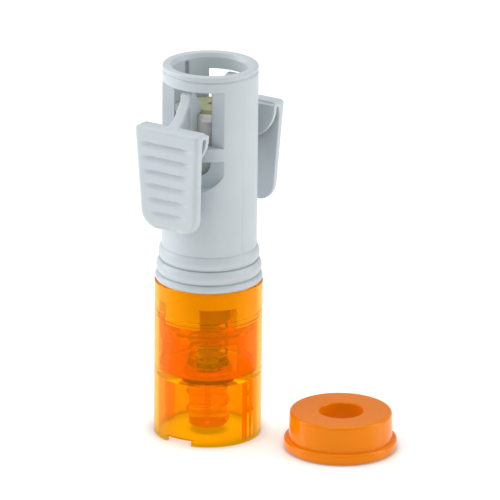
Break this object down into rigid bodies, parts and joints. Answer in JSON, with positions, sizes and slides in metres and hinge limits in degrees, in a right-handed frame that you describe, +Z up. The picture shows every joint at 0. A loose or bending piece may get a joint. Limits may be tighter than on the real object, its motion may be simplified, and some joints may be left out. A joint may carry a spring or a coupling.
{
  "type": "vial clamp adapter",
  "caption": "Handheld vial adapter: two-lever clamp sleeve that swivels on a clear orange spring barrel, with a sprung inner carriage and a loose reducer cap.",
  "frame": {"origin": "on the barrel's axis, at the surface the barrel's foot stands on", "axes": "+Z up along the barrel's axis to the sleeve's rim; the front lever is on -Y, the rear lever on +Y, the loose cap on +X"},
  "size_m": [0.0745, 0.0511, 0.1156],
  "materials": {
    "grey_plastic": "satin moulded",
    "clear_orange": "clear tinted moulded",
    "orange_plastic": "opaque satin moulded",
    "natural_plastic": "natural moulded",
    "olive_rubber": "matte elastomer",
    "dark_rubber": "matte elastomer",
    "steel": "drawn wire"
  },
  "bodies": {
    "barrel": {"outer_barrel": "clear_orange", "inner_cage": "clear_orange", "connector_core": "clear_orange", "core_seal": "dark_rubber", "needle_post": "natural_plastic", "cannula": "steel", "spring_seat": "steel", "return_spring": "steel"},
    "sleeve": {"clamp_sleeve": "grey_plastic", "pivot_pin_front": "steel", "pivot_pin_rear": "steel", "lever_spring_front": "steel", "lever_spring_rear": "steel"},
    "lever_front": {"lever_front": "grey_plastic"},
    "lever_rear": {"lever_rear": "grey_plastic"},
    "carriage": {"vial_cup": "natural_plastic", "septum": "olive_rubber", "plunger_tube": "natural_plastic"},
    "cap": {"reducer_cap": "orange_plastic"}
  },
  "joints": [
    {"name": "head_swivel", "type": "hinge", "parent": "barrel", "child": "sleeve", "pos_m": [0, 0, 0.0484], "axis": [0, 0, 1], "continuous": true},
    {"name": "lever_front_press", "type": "hinge", "parent": "sleeve", "child": "lever_front", "pos_m": [0, -0.012, 0.09155], "axis": [1, 0, 0], "range_deg": [0, 8.5], "stiffness_Nm_per_rad": 0.08, "springref_deg": -4.58, "deforming": ["lever_spring_front"]},
    {"name": "lever_rear_press", "type": "hinge", "parent": "sleeve", "child": "lever_rear", "pos_m": [0, 0.012, 0.09155], "axis": [-1, 0, 0], "range_deg": [0, 8.5], "stiffness_Nm_per_rad": 0.08, "springref_deg": -4.58, "deforming": ["lever_spring_rear"]},
    {"name": "carriage_slide", "type": "slide", "parent": "sleeve", "child": "carriage", "axis": [0, 0, -1], "range_m": [0, 0.008], "stiffness_N_per_m": 500, "springref_m": -0.004, "deforming": ["return_spring"]},
    {"name": "cap_lift", "type": "slide", "parent": "barrel", "child": "cap", "axis": [0, 0, 1], "range_m": [0, 0.03]}
  ]
}
